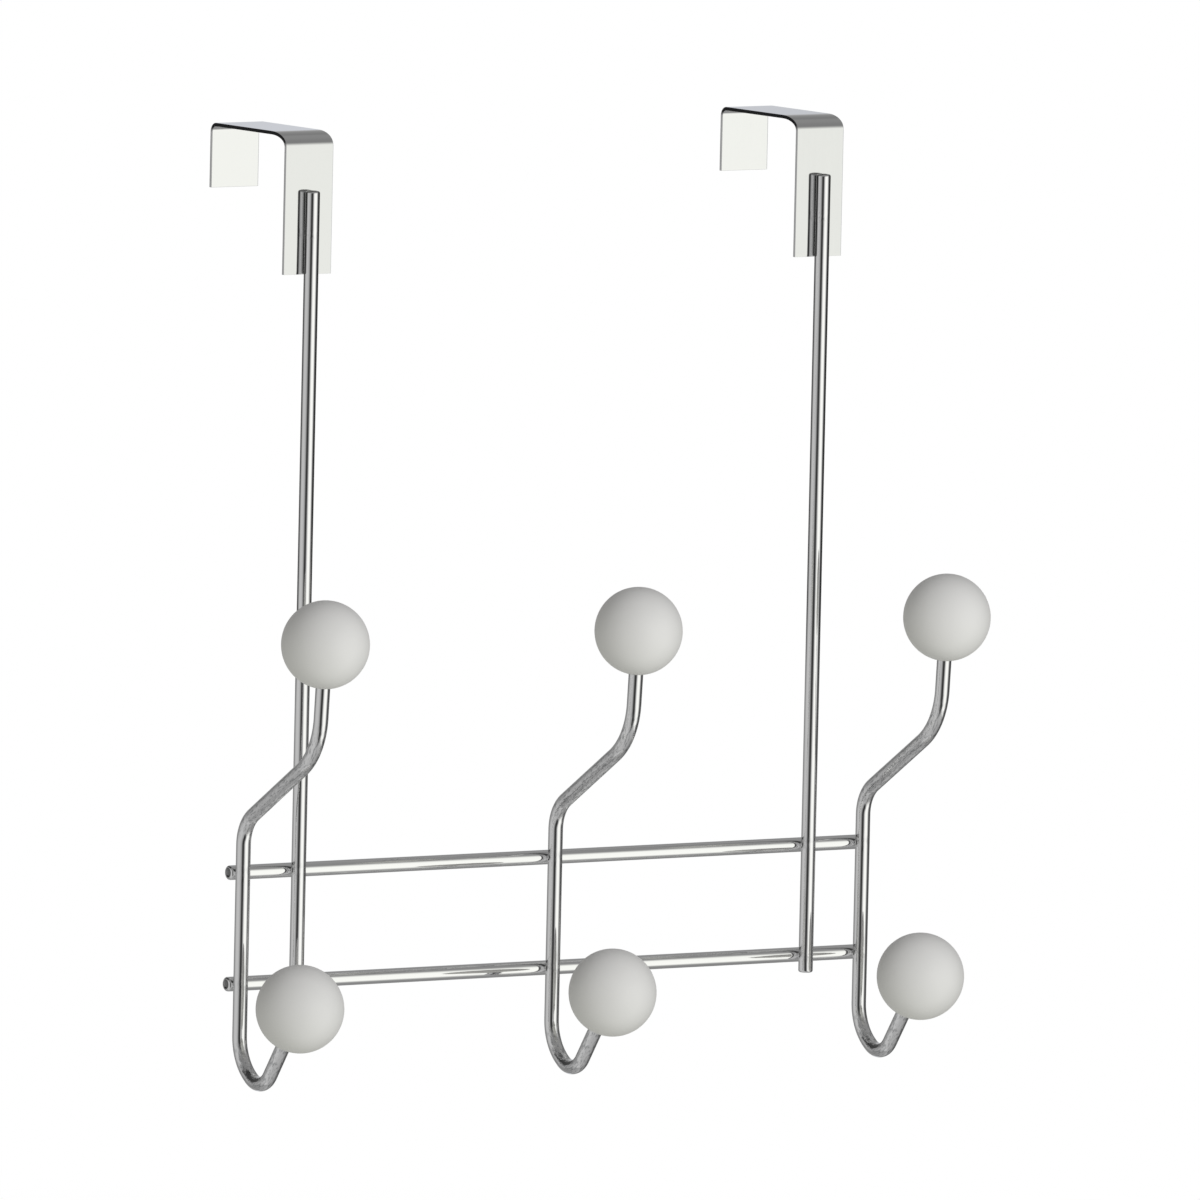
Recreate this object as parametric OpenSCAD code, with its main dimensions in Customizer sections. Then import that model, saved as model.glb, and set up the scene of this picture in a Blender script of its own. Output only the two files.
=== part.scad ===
// Over door rack: two folded straps, two uprights and two rails of round wire,
// and three double hooks with a ball on each tip.
// +X runs right along the door, +Y into the door and +Z up. The origin is midway between the
// brackets, level with the undersides of their tops and with the backs of their front legs.

/* [Door brackets] */
// Clear gap between the two legs of a bracket, for the door
door_gap = 45; // [36:0.5:60]
// Width of the strap
strap_w = 19; // [12:0.5:30]
// Thickness of the strap
strap_t = 1.2; // [0.8:0.1:3]
// Inside radius of the front fold
front_fold_r = 4.5; // [0.8:0.1:8]
// Inside radius of the back fold
back_fold_r = 2.2; // [0.8:0.1:8]
// Bevel on the strap's long edges
strap_bevel = 0.2; // [0.05:0.05:0.35]
// Length of the front leg below the door's top
front_leg = 47; // [35:1:90]
// Length of the back leg below the door's top
back_leg = 21; // [12:1:40]
// Distance of a bracket's middle inside the outer hook beside it
bracket_inset = 22.5; // [12:0.5:60]

/* [Wire frame] */
// Diameter of the wire of the uprights, rails and hooks
wire_d = 5; // [3:0.1:7]
// Bevel on the cut ends of the wires
end_bevel = 0.35; // [0.1:0.05:0.6]
// Distance of the uprights' tops below the door's top
upright_drop = 18.5; // [10:0.5:30]
// Length of the uprights past the middle of the lower rail
upright_tail = 5.7; // [4:0.1:20]
// Distance of the upper rail below the door's top
rail_drop = 250; // [180:1:400]
// Distance between the two rails
rail_gap = 38; // [20:1:60]
// Length of the rails past the middles of the outer hooks
rail_overhang = 3; // [2.6:0.1:20]
// Depth to which a rail is welded into a wire that crosses it
rail_weld = 0.4; // [0.1:0.05:0.8]
// Depth to which an upright is flattened where it is welded on the strap
strap_weld = 0.2; // [0.05:0.05:0.5]

/* [Hooks] */
// Distance between neighbouring hooks
hook_pitch = 127; // [80:1:160]
// Distance of the upper balls in front of the hooks' upright wire
upper_reach = 48; // [40:0.5:56]
// Height of the upper balls above the upper rail
upper_rise = 82.5; // [75:0.5:110]
// Lean of the upper tips, forward of upright
upper_lean = 4; // [0:0.5:10]
// Slope of the hooks' arms, below level
arm_slope = 32; // [20:1:40]
// Height above the upper rail at which the arm's line meets the upright wire
arm_foot = 17; // [14:0.5:24]
// Radius of the bend from the upper tip into the arm
crook_r = 24; // [12:0.5:28]
// Radius of the bend from the arm into the upright wire
heel_r = 12.6; // [6:0.2:18]
// Distance of the lower balls in front of the hooks' upright wire
lower_reach = 37; // [30:0.5:50]
// Distance of the lower balls below the lower rail
lower_drop = 4.2; // [0:0.1:8]
// Radius of the wide bend by which the upright wire starts to turn forward
sweep_r = 16; // [12:0.5:20]
// Angle through which the wide bend turns
sweep_turn = 55; // [30:1:65]
// Straight wire between the wide bend and the tighter one
sweep_run = 1; // [0.5:0.5:4]
// Radius of the tighter bend at the hooks' bottom
throat_r = 8.5; // [6:0.5:11]
// Distance of the hooks' lowest point below the lower rail
bottom_drop = 34.8; // [32:0.2:50]

/* [Balls] */
// Diameter of a ball
ball_d = 30; // [24:0.5:32]
// Depth of the hole in which the wire's tip is held
ball_hole = 12; // [6:0.5:14]

/* [Hidden] */

wire_fn = 48;
bend_fn = 120;
ball_fn = 96;
wire_r = wire_d / 2;
ball_r = ball_d / 2;

// Bending swells the wire a little, and a straight stretch starts just inside the bend before it
bend_swell = 0.05;
bend_lap = 0.05;
bend_d = wire_d + bend_swell;

// Depths, front to back
strap_front_y = -strap_t;
upright_y = strap_front_y - wire_r + strap_weld;
rail_y = upright_y + wire_d - rail_weld;

// Heights, measured from the door's top
upper_rail_z = -rail_drop;
lower_rail_z = -rail_drop - rail_gap;
upright_top_z = -upright_drop;
upright_bottom_z = lower_rail_z - upright_tail;

// Places across the door
bracket_x = hook_pitch - bracket_inset;
rail_end_x = hook_pitch + rail_overhang;

// The wire stops short of the ball's middle
tip_short = ball_r - ball_hole;

// Upper half of a hook: the tip's line meets the arm's line at the crook, and the arm's line
// meets the upright wire at the heel. Distances are taken forward of the upright wire and
// above the upper rail.
crook_h = (arm_foot + tan(arm_slope) * (upper_reach - upper_rise * tan(upper_lean)))
    / (1 - tan(arm_slope) * tan(upper_lean));
crook_f = (crook_h - arm_foot) / tan(arm_slope);
crook_turn = 90 - arm_slope - upper_lean;
heel_turn = 90 - arm_slope;
crook_tangent = crook_r * tan(crook_turn / 2);
heel_tangent = heel_r * tan(heel_turn / 2);
upper_tip_run = (upper_rise - crook_h) / cos(upper_lean) - crook_tangent - tip_short;
arm_run = crook_f / cos(arm_slope) - crook_tangent - heel_tangent;

// Lower half of a hook: the wide bend runs into the tighter one, whose middle lies throat_f
// forward and throat_drop below the lower rail, and the tip's line is the tangent from the
// ball's middle to the tighter bend
bend_step = sweep_r - throat_r;
throat_f = sweep_r - bend_step * cos(sweep_turn) + sweep_run * sin(sweep_turn);
throat_drop = bottom_drop - wire_r - throat_r;
sweep_drop = throat_drop - bend_step * sin(sweep_turn) - sweep_run * cos(sweep_turn);
ball_forward = lower_reach - throat_f;
ball_up = throat_drop - lower_drop;
ball_away = norm([ball_forward, ball_up]);
lower_lean = acos(throat_r / ball_away) - atan2(ball_up, ball_forward);
throat_turn = 180 - lower_lean - sweep_turn;
lower_tip_run = sqrt(ball_away * ball_away - throat_r * throat_r) - tip_short;

upright_run = arm_foot - heel_tangent + rail_gap + sweep_drop;

steel = [0.80, 0.81, 0.83];
polished = [0.88, 0.89, 0.91];
ball_white = [0.88, 0.87, 0.85];

// A straight stretch of wire going down, and whatever follows it
module run(length, lap = bend_lap) {
    translate([0, 0, -length]) cylinder(d = wire_d, h = length + lap, $fn = wire_fn);
    translate([0, 0, -length]) children();
}

// A bend of the wire in the front-to-back plane, and whatever follows it.
// side is 1 where the wire turns to the back and -1 where it turns to the front.
module bend(radius, turn, side) {
    rotate([0, 0, side * 90]) {
        translate([radius, 0, 0])
            rotate([-90, 0, 180])
                rotate_extrude(angle = turn, $fn = bend_fn)
                    translate([radius, 0])
                        circle(d = bend_d, $fn = wire_fn);
        translate([radius, 0, 0])
            rotate([0, -turn, 0])
                translate([-radius, 0, 0])
                    rotate([0, 0, -side * 90]) children();
    }
}

// A straight wire along +Z with both cut ends bevelled
module cut_wire(length) {
    end_r = wire_r - end_bevel;
    rotate_extrude($fn = wire_fn)
        polygon([
            [0, 0], [end_r, 0], [wire_r, end_bevel],
            [wire_r, length - end_bevel], [end_r, length], [0, length]
        ]);
}

// The strap's cross-section, with its thickness along +X from zero and its width centred on Y
module strap_section() {
    half_w = strap_w / 2;
    flat_w = half_w - strap_bevel;
    flat_t = strap_t - strap_bevel;
    polygon([
        [0, -flat_w], [strap_bevel, -half_w], [flat_t, -half_w], [strap_t, -flat_w],
        [strap_t, flat_w], [flat_t, half_w], [strap_bevel, half_w], [0, flat_w]
    ]);
}

// A flat stretch of strap of one length along +Z
module strap_run(length) {
    linear_extrude(height = length) strap_section();
}

// A quarter fold: the strap turns from going up at zero to going towards +X
module strap_fold(radius) {
    rotate([90, 0, 0])
        rotate_extrude(angle = 90, $fn = bend_fn)
            translate([radius, 0]) strap_section();
}

// An inverted U of strap over the door's top, with its front leg at the origin
module door_bracket() {
    // Thickness runs along -Y on the front leg, along +Z on the top and along +Y on the back leg
    translate([0, 0, -front_leg])
        rotate([0, 0, -90]) strap_run(front_leg - front_fold_r);
    translate([0, front_fold_r, -front_fold_r])
        rotate([0, 0, -90]) strap_fold(front_fold_r);
    translate([0, front_fold_r, 0])
        rotate([-90, -90, 0]) strap_run(door_gap - front_fold_r - back_fold_r);
    translate([0, door_gap - back_fold_r, -back_fold_r])
        rotate([0, 0, 90]) strap_fold(back_fold_r);
    translate([0, door_gap, -back_leg])
        rotate([0, 0, 90]) strap_run(back_leg - back_fold_r);
}

// An upright wire, with the flat by which it is welded on the bracket's front leg
module upright() {
    seat_h = front_leg - upright_drop;
    difference() {
        translate([0, upright_y, upright_bottom_z])
            cut_wire(upright_top_z - upright_bottom_z);
        translate([-wire_r, strap_front_y, -front_leg])
            cube([wire_d, wire_d, seat_h + wire_d]);
    }
}

// A rail, with the shallow saddles in which the wires in front of it are welded
module rail(height) {
    difference() {
        translate([-rail_end_x, rail_y, height])
            rotate([0, 90, 0]) cut_wire(2 * rail_end_x);
        for (x = [-hook_pitch, -bracket_x, 0, bracket_x, hook_pitch])
            translate([x, upright_y, height - wire_d])
                cylinder(d = wire_d, h = 2 * wire_d, $fn = wire_fn);
    }
}

// Moves its children to the upper ball's middle, with +Z along the wire's tip
module at_upper_tip(x) {
    translate([x, upright_y - upper_reach, upper_rail_z + upper_rise])
        rotate([upper_lean, 0, 0]) children();
}

// Moves its children to the lower ball's middle, with +Z along the wire's tip
module at_lower_tip(x) {
    translate([x, upright_y - lower_reach, lower_rail_z - lower_drop])
        rotate([lower_lean, 0, 0]) children();
}

// A hook: one wire from inside the upper ball down to inside the lower ball
module hook(x) {
    at_upper_tip(x)
        translate([0, 0, -tip_short])
            run(upper_tip_run, lap = 0)
            bend(crook_r, crook_turn, 1)
            run(arm_run)
            bend(heel_r, heel_turn, -1)
            run(upright_run)
            bend(sweep_r, sweep_turn, -1)
            run(sweep_run)
            bend(throat_r, throat_turn, -1)
            run(lower_tip_run);
}

// A ball with a blind hole from below, closed at the wire's tip
module ball() {
    difference() {
        sphere(d = ball_d, $fn = ball_fn);
        translate([0, 0, -ball_d]) cylinder(d = wire_d, h = ball_d - tip_short, $fn = wire_fn);
    }
}

module left_door_bracket() { color(polished) translate([-bracket_x, 0, 0]) door_bracket(); }
module right_door_bracket() { color(polished) translate([bracket_x, 0, 0]) door_bracket(); }
module left_upright() { color(steel) translate([-bracket_x, 0, 0]) upright(); }
module right_upright() { color(steel) translate([bracket_x, 0, 0]) upright(); }
module upper_rail() { color(steel) rail(upper_rail_z); }
module lower_rail() { color(steel) rail(lower_rail_z); }
module left_hook() { color(steel) hook(-hook_pitch); }
module middle_hook() { color(steel) hook(0); }
module right_hook() { color(steel) hook(hook_pitch); }
module left_upper_ball() { color(ball_white) at_upper_tip(-hook_pitch) ball(); }
module middle_upper_ball() { color(ball_white) at_upper_tip(0) ball(); }
module right_upper_ball() { color(ball_white) at_upper_tip(hook_pitch) ball(); }
module left_lower_ball() { color(ball_white) at_lower_tip(-hook_pitch) ball(); }
module middle_lower_ball() { color(ball_white) at_lower_tip(0) ball(); }
module right_lower_ball() { color(ball_white) at_lower_tip(hook_pitch) ball(); }

left_door_bracket();
right_door_bracket();
left_upright();
right_upright();
upper_rail();
lower_rail();
left_hook();
middle_hook();
right_hook();
left_upper_ball();
middle_upper_ball();
right_upper_ball();
left_lower_ball();
middle_lower_ball();
right_lower_ball();
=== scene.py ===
import math
import bpy
import bmesh
from mathutils import Matrix, Vector


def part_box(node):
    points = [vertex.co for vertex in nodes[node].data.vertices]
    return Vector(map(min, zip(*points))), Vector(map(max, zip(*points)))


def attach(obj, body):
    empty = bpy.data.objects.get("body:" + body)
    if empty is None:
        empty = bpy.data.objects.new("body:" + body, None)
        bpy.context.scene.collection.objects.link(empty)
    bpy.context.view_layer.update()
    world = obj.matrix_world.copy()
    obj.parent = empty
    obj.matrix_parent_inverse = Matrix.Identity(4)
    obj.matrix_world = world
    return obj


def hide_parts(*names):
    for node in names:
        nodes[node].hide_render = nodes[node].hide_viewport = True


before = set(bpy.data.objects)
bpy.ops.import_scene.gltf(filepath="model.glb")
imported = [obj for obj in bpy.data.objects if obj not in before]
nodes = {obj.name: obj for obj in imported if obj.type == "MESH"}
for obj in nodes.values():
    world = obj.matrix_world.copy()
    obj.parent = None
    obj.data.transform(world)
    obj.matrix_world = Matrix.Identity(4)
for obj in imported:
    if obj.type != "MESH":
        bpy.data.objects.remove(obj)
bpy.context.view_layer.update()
print("rack loaded:", len(nodes), "pieces")


perMetre = 1000.0  # millimetres


def mm(value):  # from millimetres to the scene's metres
    return value / perMetre


def addNode(tree, kind, **values):  # values are the node's own settings
    node = tree.nodes.new(kind)
    for name, value in values.items():
        setattr(node, name, value)
    return node


def mathNode(tree, operation, *values):  # each value is a socket or a number
    node = addNode(tree, "ShaderNodeMath", operation=operation)
    for index, value in enumerate(values):
        if isinstance(value, bpy.types.NodeSocket):
            tree.links.new(value, node.inputs[index])
        else:
            node.inputs[index].default_value = value
    return node.outputs[0]


def rampNode(tree, factor, stops):  # stops are (place, grey or colour)
    node = addNode(tree, "ShaderNodeValToRGB")
    ramp = node.color_ramp
    while len(ramp.elements) < len(stops):
        ramp.elements.new(1.0)
    for element, (place, colour) in zip(ramp.elements, stops):
        element.position = place
        element.color = (*colour, 1) if isinstance(colour, tuple) else (colour, colour, colour, 1)
    tree.links.new(factor, node.inputs["Fac"])
    return node.outputs["Color"]


def scaleRange(tree, factor, low, high):  # from 0 and 1 to low and high
    ramp = addNode(tree, "ShaderNodeMapRange")
    tree.links.new(factor, ramp.inputs["Value"])
    ramp.inputs["To Min"].default_value = low
    ramp.inputs["To Max"].default_value = high
    return ramp.outputs["Result"]


def easeRange(tree, factor, start, end):  # 0 at start and below, easing to 1 at end and above
    ramp = addNode(tree, "ShaderNodeMapRange", interpolation_type="SMOOTHSTEP")
    tree.links.new(factor, ramp.inputs["Value"])
    ramp.inputs["From Min"].default_value = start
    ramp.inputs["From Max"].default_value = end
    return ramp.outputs["Result"]


def mixColours(tree, factor, first, second):
    mix = addNode(tree, "ShaderNodeMix", data_type="RGBA")
    tree.links.new(factor, mix.inputs["Factor"])
    for socket, value in ((mix.inputs[6], first), (mix.inputs[7], second)):  # A and B as colours
        if isinstance(value, bpy.types.NodeSocket):
            tree.links.new(value, socket)
        else:
            socket.default_value = (*value, 1)
    return mix.outputs[2]


def placeMesh(name, shape):  # the finished shape as an object in the scene
    mesh = bpy.data.meshes.new(name)
    shape.to_mesh(mesh)
    shape.free()
    item = bpy.data.objects.new(name, mesh)
    bpy.context.scene.collection.objects.link(item)
    return item


def joinRings(shape, rings):  # a smooth skin from each ring of corners to the next
    for first, second in zip(rings, rings[1:]):
        for i in range(len(first)):
            after = (i + 1) % len(first)
            shape.faces.new((first[i], first[after], second[after], second[i])).smooth = True


def closeRings(shape, rings):  # flat faces on the first ring and the last
    shape.faces.new(rings[0][::-1])
    shape.faces.new(rings[-1])


def wayTowards(azimuth, height):  # from the rack, with both angles in degrees
    azimuth = math.radians(azimuth)
    height = math.radians(height)
    level = math.cos(height)
    return Vector((math.sin(azimuth) * level, -math.cos(azimuth) * level, math.sin(height)))


# camera: a long lens in front of the rack, to its left and a little above it
camera = {
    "azimuth": -33.85,
    "elevation": 5.59,
    "roll": 1.26,  # the rack's tops lean right in the picture
    "distance": 9.163,
    "pixelsPerMetre": 2931.7,  # at the aim, in a picture 1200 wide
    "pictureWidth": 1200,
    "aim": (0.0, 0.0, -0.160),
    "aimPixel": (555.1, 595.0),
    "sensor": 36.0,
}


def cameraAxes():
    roll = math.radians(camera["roll"])
    right = wayTowards(camera["azimuth"] + 90, 0)
    back = wayTowards(camera["azimuth"], camera["elevation"])
    up = back.cross(right)
    rolledRight = right * math.cos(roll) + up * math.sin(roll)
    rolledUp = up * math.cos(roll) - right * math.sin(roll)
    return rolledRight, rolledUp, back


def makeCamera():
    right, up, back = cameraAxes()
    scale = camera["pixelsPerMetre"]
    middle = camera["pictureWidth"] / 2
    target = Vector(camera["aim"])
    target += right * (middle - camera["aimPixel"][0]) / scale
    target -= up * (middle - camera["aimPixel"][1]) / scale
    data = bpy.data.cameras.new("photoCamera")
    data.sensor_width = camera["sensor"]
    data.lens = camera["sensor"] * scale * camera["distance"] / camera["pictureWidth"]
    item = bpy.data.objects.new("photoCamera", data)
    bpy.context.scene.collection.objects.link(item)
    turn = Matrix((right, up, back)).transposed().to_4x4()
    item.matrix_world = Matrix.Translation(target + back * camera["distance"]) @ turn
    bpy.context.scene.camera = item


makeCamera()
print("camera set")

# studio: what polished metal sees all round, in degrees to the right of the camera
studio = {
    "horizon": [
        (-180, (0.66, 0.68, 0.73)), (-176, 0.48), (-168, 0.38), (-155, 0.29), (-140, 0.24), (-124, 0.28),
        (-112, 0.36), (-104, 0.45), (-93, 0.54), (-66, 0.57), (-48, 0.53), (-32, 0.42), (-21, 0.17),
        (-12, 0.05), (2, 0.02), (10, 0.12), (20, 0.46), (30, (0.90, 0.90, 0.87)), (38, (1.05, 1.05, 1.02)),
        (58, (1.10, 1.10, 1.06)), (68, (1.06, 1.07, 1.02)), (76, 0.74), (84, 0.42), (92, 0.18), (98, 0.08),
        (128, 0.08), (150, 0.14), (163, 0.25), (170, 0.29), (174, 0.34), (177.5, 0.44),
        (180, (0.66, 0.68, 0.73)),
    ],
    "skew": 40,  # degrees by which the panels lean left towards the top and the bottom
    "above": [
        (-180, 0.30), (-158, 0.26), (-146, 0.06), (-96, 0.04), (-82, 0.22), (60, 0.26), (114, 0.30),
        (180, 0.30),
    ],
    "below": [
        (-180, 0.34), (-125, 0.33), (-117, 0.40), (-110, 0.56), (-100, 0.58), (-88, 0.48), (-60, 0.45),
        (-20, 0.44), (14, 0.43), (51, 0.38), (82, 0.29), (112, 0.24), (128, 0.30), (142, 0.46), (160, 0.37),
        (180, 0.34),
    ],
    "quicken": [  # how much sooner the fade above comes
        (-180, 0.7), (-168, 1.0), (-155, 1.0), (-140, 2.4), (-94, 2.4), (-78, 1.0), (130, 1.0), (155, 0.7),
        (180, 0.7),
    ],
    "fadeAbove": (0.14, 0.66),  # from the horizon to above, as the sine of the height angle
    "fadeBelow": (0.58, 0.84),
    "fillAbove": (0.285, 0.28, 0.285),  # levels that matt surfaces get
    "fillBelow": (0.66, 0.665, 0.61),
}


def roundStops(stops):  # from degrees right of the camera to places on a ramp
    return [(degrees / 360 + 0.5, value) for degrees, value in stops]


def makeStudio():
    world = bpy.data.worlds.new("studio")
    bpy.context.scene.world = world
    world.use_nodes = True
    tree = world.node_tree
    tree.nodes.clear()
    direction = addNode(tree, "ShaderNodeTexCoord").outputs["Generated"]
    axes = {
        "side": wayTowards(camera["azimuth"] + 90, 0),
        "front": wayTowards(camera["azimuth"], 0),
        "rise": (0, 0, 1),
    }
    part = {}
    for name, axis in axes.items():
        dot = addNode(tree, "ShaderNodeVectorMath", operation="DOT_PRODUCT")
        tree.links.new(direction, dot.inputs[0])
        dot.inputs[1].default_value = axis
        part[name] = dot.outputs["Value"]
    angle = mathNode(tree, "ARCTAN2", part["side"], part["front"])
    turned = mathNode(tree, "MULTIPLY_ADD", angle, 1 / (2 * math.pi), 0.5)
    steepness = mathNode(tree, "MULTIPLY", part["rise"], part["rise"])
    lean = mathNode(tree, "MULTIPLY", steepness, studio["skew"] / 360)
    turned = mathNode(tree, "FRACT", mathNode(tree, "SUBTRACT", turned, lean))
    horizon = rampNode(tree, turned, roundStops(studio["horizon"]))
    fades = {}
    for name, side in (("Above", 1), ("Below", -1)):
        away = mathNode(tree, "MULTIPLY", part["rise"], side)
        if name == "Above":
            quicker = rampNode(tree, turned, roundStops(studio["quicken"]))
            away = mathNode(tree, "MULTIPLY", away, quicker)
        fade = easeRange(tree, away, *studio["fade" + name])
        poles = rampNode(tree, turned, roundStops(studio[name.lower()]))
        fades[name] = mixColours(tree, fade, horizon, poles)
    isAbove = mathNode(tree, "GREATER_THAN", part["rise"], 0.0)
    dome = mixColours(tree, isAbove, fades["Below"], fades["Above"])
    raised = mathNode(tree, "MULTIPLY_ADD", part["rise"], 0.5, 0.5)
    fill = mixColours(tree, raised, studio["fillBelow"], studio["fillAbove"])
    path = addNode(tree, "ShaderNodeLightPath")
    matt = mixColours(tree, path.outputs["Is Glossy Ray"], fill, dome)
    seen = mixColours(tree, path.outputs["Is Camera Ray"], matt, (1, 1, 1))
    background = addNode(tree, "ShaderNodeBackground")
    tree.links.new(seen, background.inputs["Color"])
    output = addNode(tree, "ShaderNodeOutputWorld")
    tree.links.new(background.outputs[0], output.inputs["Surface"])


makeStudio()

# softbox: the large lamp to the camera's right
softbox = {"bearing": 43, "height": 12, "distance": 2.0, "size": 1.2, "radiance": 4.4}


def makeSoftbox():
    way = wayTowards(camera["azimuth"] + softbox["bearing"], softbox["height"])
    data = bpy.data.lights.new("softbox", "AREA")
    data.size = softbox["size"]
    data.energy = softbox["radiance"] * math.pi * softbox["size"] ** 2
    item = bpy.data.objects.new("softbox", data)
    item.location = Vector(camera["aim"]) + way * softbox["distance"]
    item.rotation_euler = way.to_track_quat("Z", "Y").to_euler()
    item.visible_camera = False
    item.visible_glossy = False  # metal sees the studio's panels instead
    bpy.context.scene.collection.objects.link(item)


makeSoftbox()

# floor: a pale round sheet below the rack, white where the camera sees past the shadow
floor = {
    "height": -0.45,
    "radius": 1.2,
    "sides": 96,
    "colour": (0.86, 0.86, 0.86),
    "glow": 0.60,  # lifts the paper to nearly white without more light on the rack
    "shadowReach": 0.30,
    "whiteFrom": 0.75,
}


def makeFloor():
    shape = bmesh.new()
    bmesh.ops.create_circle(shape, cap_ends=True, radius=floor["radius"], segments=floor["sides"])
    item = placeMesh("floor", shape)
    item.location = (0, 0, floor["height"])
    material = bpy.data.materials.new("floorSheet")
    material.use_nodes = True
    tree = material.node_tree
    tree.nodes.clear()
    place = addNode(tree, "ShaderNodeTexCoord").outputs["Object"]
    length = addNode(tree, "ShaderNodeVectorMath", operation="LENGTH")
    tree.links.new(place, length.inputs[0])
    path = addNode(tree, "ShaderNodeLightPath")
    geometry = addNode(tree, "ShaderNodeNewGeometry")
    paper = addNode(tree, "ShaderNodeBsdfDiffuse")
    paper.inputs["Color"].default_value = (*floor["colour"], 1)
    glow = addNode(tree, "ShaderNodeEmission")
    glow.inputs["Strength"].default_value = floor["glow"]
    lifted = addNode(tree, "ShaderNodeAddShader")
    tree.links.new(paper.outputs[0], lifted.inputs[0])
    tree.links.new(glow.outputs[0], lifted.inputs[1])
    white = addNode(tree, "ShaderNodeEmission")
    outside = easeRange(tree, length.outputs["Value"], floor["shadowReach"], floor["whiteFrom"])
    seen = addNode(tree, "ShaderNodeMixShader")
    tree.links.new(mathNode(tree, "MULTIPLY", outside, path.outputs["Is Camera Ray"]), seen.inputs[0])
    tree.links.new(lifted.outputs[0], seen.inputs[1])
    tree.links.new(white.outputs[0], seen.inputs[2])
    clear = addNode(tree, "ShaderNodeBsdfTransparent")
    under = addNode(tree, "ShaderNodeMixShader")  # clear from below and to everything but the camera
    faced = mathNode(tree, "SUBTRACT", 1.0, geometry.outputs["Backfacing"])
    shown = mathNode(tree, "MULTIPLY", faced, path.outputs["Is Camera Ray"])
    tree.links.new(mathNode(tree, "SUBTRACT", 1.0, shown), under.inputs[0])
    tree.links.new(seen.outputs[0], under.inputs[1])
    tree.links.new(clear.outputs[0], under.inputs[2])
    output = addNode(tree, "ShaderNodeOutputMaterial")
    tree.links.new(under.outputs[0], output.inputs["Surface"])
    item.data.materials.append(material)


makeFloor()
print("studio and floor set")

# plating: what chromed wire, strap and welds share
plating = {
    "detail": 3,  # of the drawn lines and the dimples
    "cloudScale": 90,
    "cloudDetail": 4,
    "cloudStops": [(0.35, 0.0), (0.7, 0.4)],  # haze in clouds
    "lineHaze": 0.4,  # and along the drawn lines
    "dullStops": [(0.50, 0.0), (0.66, 1.0)],  # how deep a dimple is before it looks dull
}


def stretchedNoise(group, given, name):  # noise drawn out along the metal's length
    stretch = addNode(group, "ShaderNodeCombineXYZ")
    stretch.inputs[0].default_value = 1
    stretch.inputs[1].default_value = 1
    group.links.new(given.outputs[name + " Stretch"], stretch.inputs[2])
    drawn = addNode(group, "ShaderNodeVectorMath", operation="MULTIPLY")
    group.links.new(given.outputs["Place"], drawn.inputs[0])
    group.links.new(stretch.outputs[0], drawn.inputs[1])
    noise = addNode(group, "ShaderNodeTexNoise")
    noise.inputs["Detail"].default_value = plating["detail"]
    group.links.new(drawn.outputs[0], noise.inputs["Vector"])
    group.links.new(given.outputs[name + " Scale"], noise.inputs["Scale"])
    return noise.outputs["Fac"]


def makePlatingSkin():
    group = bpy.data.node_groups.new("platingSkin", "ShaderNodeTree")
    # Place is in metres with Z along the metal, depths are in millimetres, and Work is 1 where
    # the metal was bent, cut or welded
    group.interface.new_socket("Place", in_out="INPUT", socket_type="NodeSocketVector")
    for name in (
        "Line Scale", "Line Stretch", "Line Depth",
        "Dimple Scale", "Dimple Stretch", "Dimple Depth",
        "Work Depth", "Work",
    ):
        group.interface.new_socket(name, in_out="INPUT", socket_type="NodeSocketFloat")
    for name in ("Height", "Haze", "Dull"):
        group.interface.new_socket(name, in_out="OUTPUT", socket_type="NodeSocketFloat")
    given = addNode(group, "NodeGroupInput")
    result = addNode(group, "NodeGroupOutput")
    lines = stretchedNoise(group, given, "Line")
    dimples = stretchedNoise(group, given, "Dimple")
    clouds = addNode(group, "ShaderNodeTexNoise")
    group.links.new(given.outputs["Place"], clouds.inputs["Vector"])
    clouds.inputs["Scale"].default_value = plating["cloudScale"]
    clouds.inputs["Detail"].default_value = plating["cloudDetail"]
    worked = mathNode(group, "MULTIPLY", given.outputs["Work"], given.outputs["Work Depth"])
    deepened = mathNode(group, "ADD", worked, given.outputs["Dimple Depth"])
    hollow = mathNode(group, "MULTIPLY", dimples, deepened)
    fine = mathNode(group, "MULTIPLY", lines, given.outputs["Line Depth"])
    group.links.new(mathNode(group, "ADD", hollow, fine), result.inputs["Height"])
    spread = rampNode(group, clouds.outputs["Fac"], plating["cloudStops"])
    drawn = mathNode(group, "MULTIPLY", lines, plating["lineHaze"])
    group.links.new(mathNode(group, "ADD", spread, drawn), result.inputs["Haze"])
    streaks = rampNode(group, dimples, plating["dullStops"])
    group.links.new(mathNode(group, "MULTIPLY", streaks, given.outputs["Work"]), result.inputs["Dull"])
    return group


platingSkin = makePlatingSkin()


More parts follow.
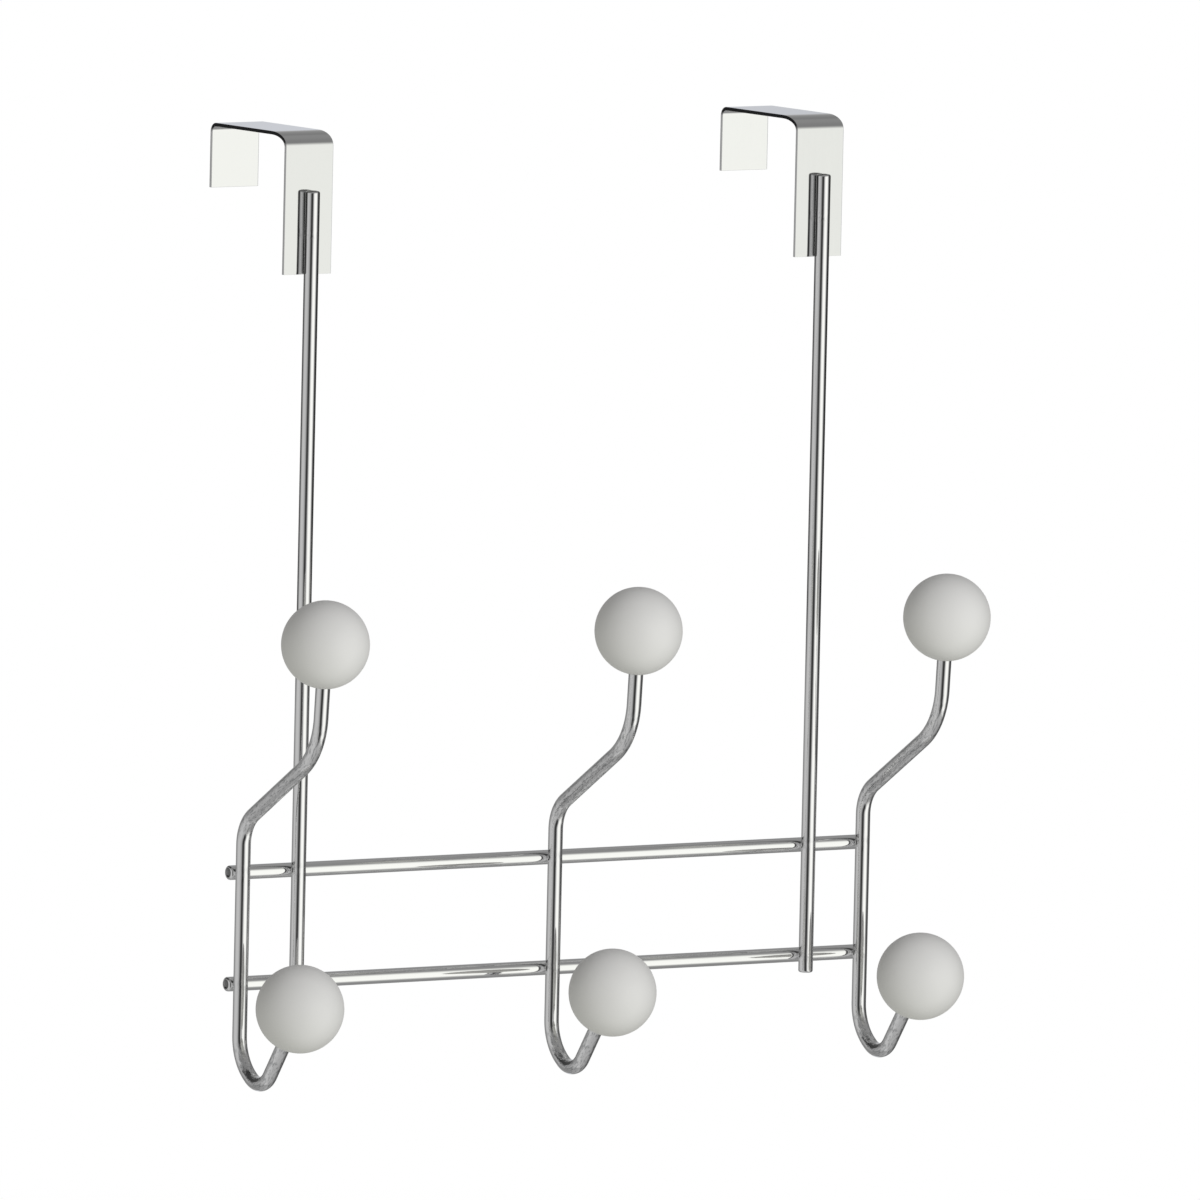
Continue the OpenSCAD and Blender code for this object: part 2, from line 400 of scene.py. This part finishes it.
def makeChrome(name, finish):
    material = bpy.data.materials.new(name)
    material.use_nodes = True
    tree = material.node_tree
    shader = tree.nodes["Principled BSDF"]
    shader.inputs["Metallic"].default_value = 1
    place = addNode(tree, "ShaderNodeAttribute", attribute_name="straightened")
    work = addNode(tree, "ShaderNodeAttribute", attribute_name="worked")
    skin = addNode(tree, "ShaderNodeGroup", node_tree=platingSkin)
    tree.links.new(place.outputs["Vector"], skin.inputs["Place"])
    tree.links.new(work.outputs["Fac"], skin.inputs["Work"])
    for socket, value in finish["skin"].items():
        skin.inputs[socket].default_value = value
    plain = finish["colour"]
    # painted light: the strap's side towards the door gets a lighter copy of its colour
    if "inner" in finish:
        face = addNode(tree, "ShaderNodeAttribute", attribute_name="inner")
        plain = mixColours(tree, face.outputs["Fac"], plain, finish["inner"])
    colour = mixColours(tree, skin.outputs["Dull"], plain, finish["dull"])
    if "paintedEdgeShade" in finish:  # painted shade: the wires' edges, seen at a slant, are painted darker high up above the balls
        slant = addNode(tree, "ShaderNodeLayerWeight").outputs["Facing"]
        sides = rampNode(tree, slant, finish["paintedEdgeShadeStops"])
        height = addNode(tree, "ShaderNodeSeparateXYZ")
        tree.links.new(addNode(tree, "ShaderNodeTexCoord").outputs["Object"], height.inputs[0])
        low, high = finish["paintedEdgeShadeHeights"]
        raised = easeRange(tree, height.outputs["Z"], mm(low), mm(high))
        share = mathNode(tree, "MULTIPLY", sides, raised)
        colour = mixColours(tree, share, colour, finish["paintedEdgeShade"])
    # painted shade: the wires' dished cut faces and the strap's long edges over its top are painted dark
    paintedShade = addNode(tree, "ShaderNodeAttribute", attribute_name="paintedShade")
    colour = mixColours(tree, paintedShade.outputs["Fac"], colour, finish["paintedShade"])
    tree.links.new(colour, shader.inputs["Base Color"])
    rough = scaleRange(tree, skin.outputs["Haze"], *finish["roughness"])
    tree.links.new(rough, shader.inputs["Roughness"])
    bump = addNode(tree, "ShaderNodeBump")
    bump.inputs["Distance"].default_value = mm(1)
    tree.links.new(skin.outputs["Height"], bump.inputs["Height"])
    tree.links.new(bump.outputs[0], shader.inputs["Normal"])
    return material


def finishPiece(item, material, slotName, *replaced):
    item.data.materials.append(material)
    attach(item, "root")
    if replaced:
        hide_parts(*replaced)


# wire: one round section for uprights, rails and hooks, in millimetres
wire = {
    "radius": 2.5,
    "sides": 48,
    "rim": 0.8,  # the rounding of its ends
    "rimRings": 6,
    "dish": [  # (radius, depth) in a cut face
        (1.58, 0.0), (1.45, 0.06), (1.15, 0.20), (0.7, 0.28), (0.2, 0.22),
    ],
    "straightStep": 3.0,
    "bendStep": 0.6,
    "bendStepsLeast": 6,
    "workedReach": 9.0,  # how far into a bend it takes until the wire's skin is fully disturbed
    "drawnLength": 45.0,  # shorter stretches beside a bend are disturbed all along
    "markReach": 3.5,  # how far the skin is disturbed round a weld
    "markShare": 0.5,  # against the skin in a bend
    "paintedShadeShare": 0.75,  # how much painted shade a wire's dished cut face gets
    "chrome": {
        "colour": (0.885, 0.885, 0.885),
        "dull": (0.50, 0.505, 0.51),
        # painted shade for the dished cut faces
        "paintedShade": (0.10, 0.10, 0.10),
        "paintedEdgeShade": (0.24, 0.24, 0.24),  # painted shade on the wire's edges, seen at a slant, high up
        "paintedEdgeShadeStops": [(0.28, 0.0), (0.48, 1.0)],
        "paintedEdgeShadeHeights": (-200.0, -162.0),
        "roughness": (0.02, 0.10),
        "skin": {
            "Line Scale": 1400.0,
            "Line Stretch": 0.02,
            "Line Depth": 0.012,
            "Dimple Scale": 1800.0,
            "Dimple Stretch": 0.3,
            "Dimple Depth": 0.002,
            "Work Depth": 0.11,
        },
    },
}
wireChrome = makeChrome("wireChrome", wire["chrome"])


# (point, direction, kind of stretch) along a straight
def straightStretch(start, end, besideBend=False):
    way = end - start
    kind = "bend" if besideBend and way.length < wire["drawnLength"] else "straight"
    count = max(1, round(way.length / wire["straightStep"]))
    return [(start + way * (i / count), way.normalized(), kind) for i in range(count + 1)]


# the same round a bend without its two ends, and where the bend starts and ends
def bentStretch(corner, before, after, radius):
    turn = before.angle(after)
    tangent = radius * math.tan(turn / 2)
    start = corner - before * tangent
    inward = (after - before * before.dot(after)).normalized()
    count = max(wire["bendStepsLeast"], round(radius * turn / wire["bendStep"]))
    stretch = []
    for i in range(1, count):
        angle = turn * i / count
        point = start + before * (radius * math.sin(angle)) + inward * (radius * (1 - math.cos(angle)))
        way = before * math.cos(angle) + inward * math.sin(angle)
        stretch.append((point, way, "bend"))
    return stretch, start, corner + after * tangent


def wirePath(corners):  # corners are (point, bend radius), with no radius at the two ends
    path = []
    start = corners[0][0]
    for i in range(1, len(corners) - 1):
        corner, radius = corners[i]
        before = (corner - corners[i - 1][0]).normalized()
        after = (corners[i + 1][0] - corner).normalized()
        bend, bendStart, bendEnd = bentStretch(corner, before, after, radius)
        path += straightStretch(start, bendStart, i > 1) + bend  # the first tip keeps its skin
        start = bendEnd
    return path + straightStretch(start, corners[-1][0], len(corners) > 2)


def endRings(point, way, outward):  # the rounded rim and the dished face of a cut end
    rings = []
    for i in range(wire["rimRings"] + 1):
        angle = math.pi / 2 * i / wire["rimRings"]
        inset = wire["rim"] * (1 - math.cos(angle))
        back = wire["rim"] * (1 - math.sin(angle))
        rings.append((point - way * outward * back, way, "straight", wire["radius"] - inset))
    for radius, depth in wire["dish"]:
        rings.append((point - way * outward * depth, way, "cut", radius))
    return rings


def ease(share):
    share = min(1.0, max(0.0, share))
    return share * share * (3 - 2 * share)


# 1 in bends and on cut faces and less at marks, easing to 0 towards the straights
def workedShares(path, marks):
    places = [0.0]
    for first, second in zip(path, path[1:]):
        places.append(places[-1] + (second[0] - first[0]).length)
    straights = [place for place, ring in zip(places, path) if ring[2] == "straight"]
    shares = []
    for place, (point, way, kind, radius) in zip(places, path):
        share = 1.0 if kind == "cut" else 0.0
        if kind == "bend":
            share = ease(min(abs(place - straight) for straight in straights) / wire["workedReach"])
        for mark in marks:
            near = ease(1 - (point - mark).length / wire["markReach"])
            share = max(share, wire["markShare"] * near)
        shares.append(share)
    return places, shares


def sweepWire(name, corners, across, marks=()):
    path = [(*stretch, wire["radius"]) for stretch in wirePath(corners)]
    firstPoint, firstWay = path[0][:2]
    lastPoint, lastWay = path[-1][:2]
    path = endRings(firstPoint, firstWay, -1)[::-1] + path[1:-1] + endRings(lastPoint, lastWay, 1)
    shape = bmesh.new()
    place = shape.verts.layers.float_vector.new("straightened")
    work = shape.verts.layers.float.new("worked")
    paintedShade = shape.verts.layers.float.new("paintedShade")
    rings = []
    places, shares = workedShares(path, marks)
    for (point, way, kind, radius), along, share in zip(path, places, shares):
        up = way.cross(across).normalized()
        ring = []
        for side in range(wire["sides"]):
            angle = 2 * math.pi * side / wire["sides"]
            out = across * math.cos(angle) + up * math.sin(angle)
            vert = shape.verts.new(mm(point + out * radius))
            vert[place] = mm(Vector((math.cos(angle) * radius, math.sin(angle) * radius, along)))
            vert[work] = share
            # painted shade on the dished cut faces
            vert[paintedShade] = wire["paintedShadeShare"] if kind == "cut" else 0.0
            ring.append(vert)
        rings.append(ring)
    joinRings(shape, rings)
    closeRings(shape, rings)
    bmesh.ops.recalc_face_normals(shape, faces=shape.faces)
    return placeMesh(name, shape)


def nodeBox(name):  # a CAD node's box in millimetres
    low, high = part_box(name)
    return low * perMetre, high * perMetre


def nodeMiddle(name):
    low, high = nodeBox(name)
    return (low + high) / 2


# hooks: one bent wire each, in millimetres and degrees, with reach and corners forward of its
# upright stretch
hookWire = {
    "depth": -3.5,  # of the upright stretch, in the rack's frame
    "upperReach": 48.0,
    "upperRise": 82.5,  # of the upper ball's middle above the upper rail
    "upperLean": 4.0,
    "armSlope": 32.0,
    "armFoot": 17.0,  # above the upper rail, where the arm's line meets the upright stretch
    "crookRadius": 24.0,
    "heelRadius": 12.6,
    "lowerReach": 37.0,
    "lowerDrop": 4.2,  # of the lower ball's middle below the lower rail
    "wideRadius": 16.0,
    "wideTurn": 55.0,
    "wideRun": 1.0,  # straight wire between the wide bend and the tight one
    "tightRadius": 8.5,
    "bottomDrop": 34.8,  # of the wire's lowest point below the lower rail
    "tipShort": 3.0,  # from a ball's middle to the end of the wire in it
}


railHeights = (nodeMiddle("upper_rail").z, nodeMiddle("lower_rail").z)
strapWeldHeight = -33.0  # the uprights are spot welded on the brackets here


def leaning(angle):  # a direction as (forward, up), this many degrees forward of straight up
    return Vector((math.sin(math.radians(angle)), math.cos(math.radians(angle))))


def crossing(first, firstWay, second, secondWay):  # where two lines meet
    return first + firstWay * ((second - first).cross(secondWay) / firstWay.cross(secondWay))


# (place, bend radius) down from the end of the upper tip, with a place as (forward, height)
def upperCorners():
    ball = Vector((hookWire["upperReach"], railHeights[0] + hookWire["upperRise"]))
    tip = leaning(hookWire["upperLean"])
    heel = Vector((0, railHeights[0] + hookWire["armFoot"]))
    crook = crossing(ball, tip, heel, leaning(90 - hookWire["armSlope"]))
    return [
        (ball - tip * hookWire["tipShort"], 0),
        (crook, hookWire["crookRadius"]),
        (heel, hookWire["heelRadius"]),
    ]


# the same from the wide bend to the end of the lower tip, and the tip's lean
def lowerCorners():
    ball = Vector((hookWire["lowerReach"], railHeights[1] - hookWire["lowerDrop"]))
    turn = math.radians(hookWire["wideTurn"])
    wide, tight, run = hookWire["wideRadius"], hookWire["tightRadius"], hookWire["wideRun"]
    tightForward = wide - (wide - tight) * math.cos(turn) + run * math.sin(turn)
    tightHeight = railHeights[1] - hookWire["bottomDrop"] + wire["radius"] + tight
    wideHeight = tightHeight + (wide - tight) * math.sin(turn) + run * math.cos(turn)
    bottom = Vector((0, wideHeight - wide * math.tan(turn / 2)))
    away = ball - Vector((tightForward, tightHeight))
    lean = math.degrees(math.acos(tight / away.length) - math.atan2(away.y, away.x))
    tip = leaning(lean)
    throat = crossing(bottom, leaning(180 - hookWire["wideTurn"]), ball, tip)
    return [(bottom, wide), (throat, tight), (ball - tip * hookWire["tipShort"], 0)], lean


lowerHalf, lowerLean = lowerCorners()
hookCorners = upperCorners() + lowerHalf


def makeHook(side):
    middle = nodeMiddle(side + "_hook").x
    corners = []
    for (forward, height), radius in hookCorners:
        corners.append((Vector((middle, hookWire["depth"] - forward, height)), radius))
    marks = [Vector((middle, hookWire["depth"], height)) for height in railHeights]
    item = sweepWire(side + "_hook_wire", corners, Vector((1, 0, 0)), marks)
    finishPiece(item, wireChrome, "wire", side + "_hook")


for side in ("left", "middle", "right"):
    makeHook(side)
print("hooks bent")


def makeUpright(side):
    low, high = nodeBox(side + "_upright")
    middle = nodeMiddle(side + "_upright").x
    corners = [(Vector((middle, hookWire["depth"], height)), 0) for height in (high.z, low.z)]
    marks = [Vector((middle, hookWire["depth"], height)) for height in (*railHeights, strapWeldHeight)]
    item = sweepWire(side + "_upright_wire", corners, Vector((1, 0, 0)), marks)
    finishPiece(item, wireChrome, "wire", side + "_upright")


def railDepth(level):
    low, high = nodeBox(level + "_rail")
    return high.y - wire["radius"]


def makeRail(level):
    low, high = nodeBox(level + "_rail")
    height = nodeMiddle(level + "_rail").z
    corners = [(Vector((end, railDepth(level), height)), 0) for end in (low.x, high.x)]
    item = sweepWire(level + "_rail_wire", corners, Vector((0, 0, 1)))
    finishPiece(item, wireChrome, "wire", level + "_rail")


for side in ("left", "right"):
    makeUpright(side)
for level in ("upper", "lower"):
    makeRail(level)
print("uprights and rails cut")

# welds: a low bead where a wire crosses a rail, in millimetres
weld = {
    "throat": 1.5,  # radius at the bead's middle
    "foot": 0.4,  # how much wider it is where it meets the wires
    "bite": 0.05,  # into the wires
    "steps": 8,
    "sides": 40,
    "uneven": 0.12,
    "lobes": (3, 2),  # round the bead, in two waves that make it uneven
}


def addBead(shape, place, work, x, z, frontDepth, backDepth):
    radius = wire["radius"]
    rings = []
    for i in range(weld["steps"] + 1):
        level = 2 * i / weld["steps"] - 1  # -1 on the wire in front and 1 on the rail
        ring = []
        for spoke in range(weld["sides"]):
            angle = 2 * math.pi * spoke / weld["sides"]
            out = weld["throat"] + weld["foot"] * level * level
            waves = math.sin(weld["lobes"][0] * angle + x) * math.cos(weld["lobes"][1] * angle + z)
            out *= 1 + weld["uneven"] * waves
            across, up = out * math.cos(angle), out * math.sin(angle)
            near = frontDepth + math.sqrt(radius ** 2 - across ** 2) - weld["bite"]
            far = backDepth - math.sqrt(radius ** 2 - up ** 2) + weld["bite"]
            depth = near + (far - near) * (level + 1) / 2
            vert = shape.verts.new(mm(Vector((x + across, depth, z + up))))
            vert[place] = mm(Vector((x + across, z + up, depth)))
            vert[work] = 1.0
            ring.append(vert)
        rings.append(ring)
    joinRings(shape, rings)
    closeRings(shape, rings)


def makeCrossingWelds(level):
    height = nodeMiddle(level + "_rail").z
    shape = bmesh.new()
    place = shape.verts.layers.float_vector.new("straightened")
    work = shape.verts.layers.float.new("worked")
    for name in ("left_hook", "left_upright", "middle_hook", "right_upright", "right_hook"):
        addBead(shape, place, work, nodeMiddle(name).x, height, hookWire["depth"], railDepth(level))
    bmesh.ops.recalc_face_normals(shape, faces=shape.faces)
    finishPiece(placeMesh(level + "_rail_welds", shape), wireChrome, "wire")


for level in ("upper", "lower"):
    makeCrossingWelds(level)
print("crossings welded")

# brackets: strap folded over the door's top, in millimetres
strap = {
    "width": 19.0,
    "thickness": 1.2,
    "edge": 0.05,  # the rounding of its corners
    "backEdge": 0.12,  # the back leg's edges are rounder
    "edgeSteps": 4,
    "columns": 14,  # of faces across the width
    "rows": 1.5,  # length of the faces along the straights
    "frontLeg": 47.0,
    "backLeg": 21.0,
    "gap": 45.0,
    "frontFold": (2.4, 22.0),  # inside radius at the leg and at the top
    "backFold": (2.2, 2.2),
    "tightShare": 0.4,  # share of a fold that keeps the radius of the leg
    "foldSteps": 48,
    "weldReach": 3.5,
    "paintedShadeGain": 1.4,  # how soon the painted shade on the long edges comes in from the legs towards the top
    "chrome": {
        "colour": (0.755, 0.757, 0.755),
        "inner": (0.835, 0.836, 0.833),  # the side towards the door, painted lighter than the rest as painted light
        "dull": (0.50, 0.505, 0.51),
        # painted shade on the long edges, darkest over the top
        "paintedShade": (0.02, 0.02, 0.022),
        "roughness": (0.02, 0.08),
        "skin": {
            "Line Scale": 500.0,
            "Line Stretch": 0.05,
            "Line Depth": 0.004,
            "Dimple Scale": 120.0,
            "Dimple Stretch": 0.6,
            "Dimple Depth": 0.02,
            "Work Depth": 0.12,
        },
    },
}
strapChrome = makeChrome("strapChrome", strap["chrome"])


def strapSection(inset, edge):  # (across the width, out from the inner face) round the section
    half = strap["width"] / 2 - edge
    top = strap["thickness"] - edge
    reach = edge - inset
    section = []
    corners = ((half, top, 0), (-half, top, 90), (-half, edge, 180), (half, edge, 270))
    for index, (cornerX, cornerY, startAngle) in enumerate(corners):
        for i in range(strap["edgeSteps"] + 1):
            angle = math.radians(startAngle + 90 * i / strap["edgeSteps"])
            section.append((cornerX + reach * math.cos(angle), cornerY + reach * math.sin(angle)))
        if index in (0, 2):
            lastX, lastY = section[-1]
            for i in range(1, strap["columns"]):
                spread = math.cos(math.pi * i / strap["columns"])  # columns crowd towards the edges
                section.append((cornerX * spread, lastY))
    return section


def foldPoints(nearRadius, farRadius):  # (behind the leg, below the top, turn) from leg to top
    count = strap["foldSteps"]
    step = math.pi / 2 / count
    away = rise = 0.0
    points = [(away, rise, 0.0)]
    for i in range(count):
        turn = step * (i + 0.5)
        opening = max(0.0, turn / (math.pi / 2) - strap["tightShare"]) / (1 - strap["tightShare"])
        radius = nearRadius + (farRadius - nearRadius) * opening ** 2
        away += radius * step * math.sin(turn)
        rise += radius * step * math.cos(turn)
        points.append((away, rise, step * (i + 1)))
    return [(depth, height - rise, turn) for depth, height, turn in points]


def strapPath():  # (depth, height, outward angle) up the front leg, over the top, down the back
    front = foldPoints(*strap["frontFold"])
    back = foldPoints(*strap["backFold"])
    path = []
    for i in range(1, round(strap["frontLeg"] / strap["rows"])):
        path.append((0.0, front[0][1] - i * strap["rows"], math.pi))
    path = [point for point in path[::-1] if point[1] > -strap["frontLeg"] + strap["rows"] / 2]
    path += [(depth, height, math.pi - turn) for depth, height, turn in front]
    topStart = front[-1][0]
    topEnd = strap["gap"] - back[-1][0]
    count = round((topEnd - topStart) / strap["rows"])
    path += [(topStart + (topEnd - topStart) * i / count, 0.0, math.pi / 2) for i in range(1, count)]
    path += [(strap["gap"] - depth, height, turn) for depth, height, turn in back[::-1]]
    count = round((strap["backLeg"] + back[0][1]) / strap["rows"])
    path += [(strap["gap"], back[0][1] - i * strap["rows"], 0.0) for i in range(1, count)]
    ends = []
    for depth, height, angle, edge in (
        (0.0, -strap["frontLeg"], math.pi, strap["edge"]),
        (strap["gap"], -strap["backLeg"], 0.0, strap["backEdge"]),
    ):
        rings = []
        for i in range(strap["edgeSteps"] + 1):
            lean = math.pi / 2 * i / strap["edgeSteps"]
            inset = edge * (1 - math.cos(lean))
            rings.append((depth, height + edge * (1 - math.sin(lean)), angle, inset))
        ends.append(rings)
    return ends[0][::-1] + [(*point, 0.0) for point in path] + ends[1]


def makeBracket(side):
    middle = nodeMiddle(side + "_door_bracket").x
    shape = bmesh.new()
    place = shape.verts.layers.float_vector.new("straightened")
    work = shape.verts.layers.float.new("worked")
    paintedShade = shape.verts.layers.float.new("paintedShade")
    inner = shape.verts.layers.float.new("inner")
    rings = []
    along = 0.0
    previous = None
    for depth, height, turn, inset in strapPath():
        if previous is not None:
            along += math.hypot(depth - previous[0], height - previous[1])
        previous = (depth, height)
        ring = []
        # the edges are rounder down the back leg alone
        fold = ease(math.sin(turn)) if depth > strap["gap"] / 2 else 1.0
        edge = strap["backEdge"] + (strap["edge"] - strap["backEdge"]) * fold
        half = strap["width"] / 2 - edge
        # painted shade on the long edges: dark over the top, easing out round the folds to none on the legs
        darkness = ease(strap["paintedShadeGain"] * math.sin(turn))
        for across, out in strapSection(inset, edge):
            back, up = depth + out * math.cos(turn), height + out * math.sin(turn)
            vert = shape.verts.new(mm(Vector((middle + across, back, up))))
            vert[place] = mm(Vector((across, out, along)))
            vert[inner] = 1.0 if out < strap["thickness"] / 2 else 0.0
            vert[paintedShade] = ease((abs(across) - half) / edge) * darkness
            if depth == 0.0:
                apart = math.hypot(across, height - strapWeldHeight)
                vert[work] = ease(1 - apart / strap["weldReach"])
            ring.append(vert)
        rings.append(ring)
    joinRings(shape, rings)
    closeRings(shape, rings)
    bmesh.ops.recalc_face_normals(shape, faces=shape.faces)
    item = placeMesh(side + "_bracket_strap", shape)
    finishPiece(item, strapChrome, "strap", side + "_door_bracket")


for side in ("left", "right"):
    makeBracket(side)
print("brackets folded")

# balls: matt painted, turned with a small chamfer where the wire goes in
ball = {
    "radius": 15.0,
    "boreRadius": 2.6,
    "boreDepth": 3.0,
    "chamfer": 0.5,
    "steps": 64,
    "sides": 96,
    "colour": (0.765, 0.763, 0.758),
    "paler": 1.03,  # the palest clouds in the paint, against its colour
    "cloudScale": 120,
    "cloudDetail": 3,
    "rim": (0.725, 0.723, 0.718),  # painted shade at the ball's edge, seen at a slant
    "paintedRimShadeStops": [(0.25, 0.0), (0.60, 1.0)],
    "roughness": (0.42, 0.58),
    "grainScale": 1500.0,
    "grainDetail": 2,
    "grainDepth": 0.03,
    "grainStrength": 0.3,
}


def makeBallPaint():
    material = bpy.data.materials.new("ballPaint")
    material.use_nodes = True
    tree = material.node_tree
    shader = tree.nodes["Principled BSDF"]
    place = addNode(tree, "ShaderNodeTexCoord").outputs["Object"]
    grain = addNode(tree, "ShaderNodeTexNoise")
    grain.inputs["Scale"].default_value = ball["grainScale"]
    grain.inputs["Detail"].default_value = ball["grainDetail"]
    tree.links.new(place, grain.inputs["Vector"])
    clouds = addNode(tree, "ShaderNodeTexNoise")
    clouds.inputs["Scale"].default_value = ball["cloudScale"]
    clouds.inputs["Detail"].default_value = ball["cloudDetail"]
    tree.links.new(place, clouds.inputs["Vector"])
    # painted shade: the ball is painted darker towards its edge as seen at a slant
    slant = addNode(tree, "ShaderNodeLayerWeight").outputs["Facing"]
    slanted = rampNode(tree, slant, ball["paintedRimShadeStops"])
    paler = tuple(value * ball["paler"] for value in ball["colour"])
    clouded = mixColours(tree, clouds.outputs["Fac"], ball["colour"], paler)
    tree.links.new(mixColours(tree, slanted, clouded, ball["rim"]), shader.inputs["Base Color"])
    rough = scaleRange(tree, clouds.outputs["Fac"], *ball["roughness"])
    tree.links.new(rough, shader.inputs["Roughness"])
    bump = addNode(tree, "ShaderNodeBump")
    bump.inputs["Strength"].default_value = ball["grainStrength"]
    bump.inputs["Distance"].default_value = mm(ball["grainDepth"])
    tree.links.new(grain.outputs["Fac"], bump.inputs["Height"])
    tree.links.new(bump.outputs[0], shader.inputs["Normal"])
    return material


ballPaint = makeBallPaint()


def makeBall(side, level, lean):
    nodeName = side + "_" + level + "_ball"
    middle = nodeMiddle(nodeName)
    radius = ball["radius"]
    rim = ball["boreRadius"] + ball["chamfer"]
    opening = math.asin(rim / radius)
    profile = [(0.0, radius)]
    for i in range(1, ball["steps"] + 1):
        angle = (math.pi - opening) * i / ball["steps"]
        profile.append((radius * math.sin(angle), radius * math.cos(angle)))
    bottom = profile[-1][1]
    profile.append((ball["boreRadius"], bottom + ball["chamfer"]))
    profile.append((ball["boreRadius"], bottom + ball["chamfer"] + ball["boreDepth"]))
    turn = Matrix.Rotation(math.radians(lean), 4, "X")
    shape = bmesh.new()
    rings = []
    top = shape.verts.new(mm(middle + turn @ Vector((0, 0, radius))))
    for distance, height in profile[1:]:
        ring = []
        for spoke in range(ball["sides"]):
            angle = 2 * math.pi * spoke / ball["sides"]
            spot = turn @ Vector((distance * math.cos(angle), distance * math.sin(angle), height))
            ring.append(shape.verts.new(mm(middle + spot)))
        rings.append(ring)
    for i in range(ball["sides"]):
        after = (i + 1) % ball["sides"]
        shape.faces.new((top, rings[0][i], rings[0][after])).smooth = True
    joinRings(shape, rings)
    shape.faces.new(rings[-1])
    bmesh.ops.recalc_face_normals(shape, faces=shape.faces)
    finishPiece(placeMesh(nodeName + "_shell", shape), ballPaint, "ball", nodeName)


for side in ("left", "middle", "right"):
    makeBall(side, "upper", hookWire["upperLean"])
    makeBall(side, "lower", lowerLean)
print("balls turned")

bpy.context.scene.view_settings.view_transform = "Standard"
